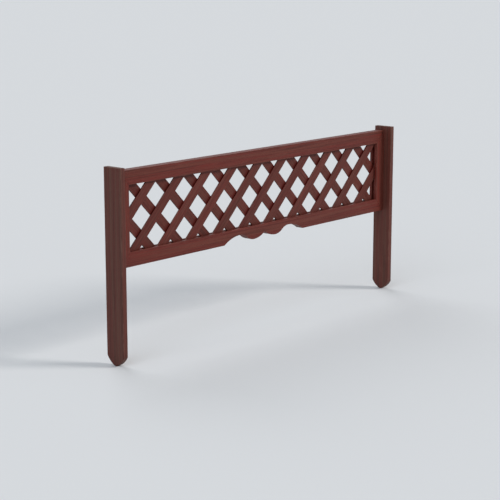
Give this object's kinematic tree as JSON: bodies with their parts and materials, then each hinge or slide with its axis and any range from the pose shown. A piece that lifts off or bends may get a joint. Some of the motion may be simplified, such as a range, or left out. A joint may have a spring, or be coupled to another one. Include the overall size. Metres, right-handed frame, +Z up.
{
  "type": "wooden garden fence panel",
  "caption": "Low wooden garden fence: a diagonal lattice held in a grooved, mitred frame with a scalloped bottom rail, between board posts with pointed feet.",
  "frame": {"origin": "on the left post's outer face, at the post's mid-depth and at ground level", "axes": "+X along the fence to the right post, +Y to the back, +Z up"},
  "size_m": [1.628, 0.084, 0.714],
  "materials": {
    "post_wood": "satin brown-red stain",
    "frame_wood": "satin brown-red stain",
    "lattice_wood": "satin brown-red stain"
  },
  "bodies": {
    "root": {"left_post": "post_wood", "right_post": "post_wood", "left_stile": "frame_wood", "right_stile": "frame_wood", "top_rail": "frame_wood", "bottom_rail": "frame_wood", "lattice_panel": "lattice_wood"}
  },
  "joints": []
}
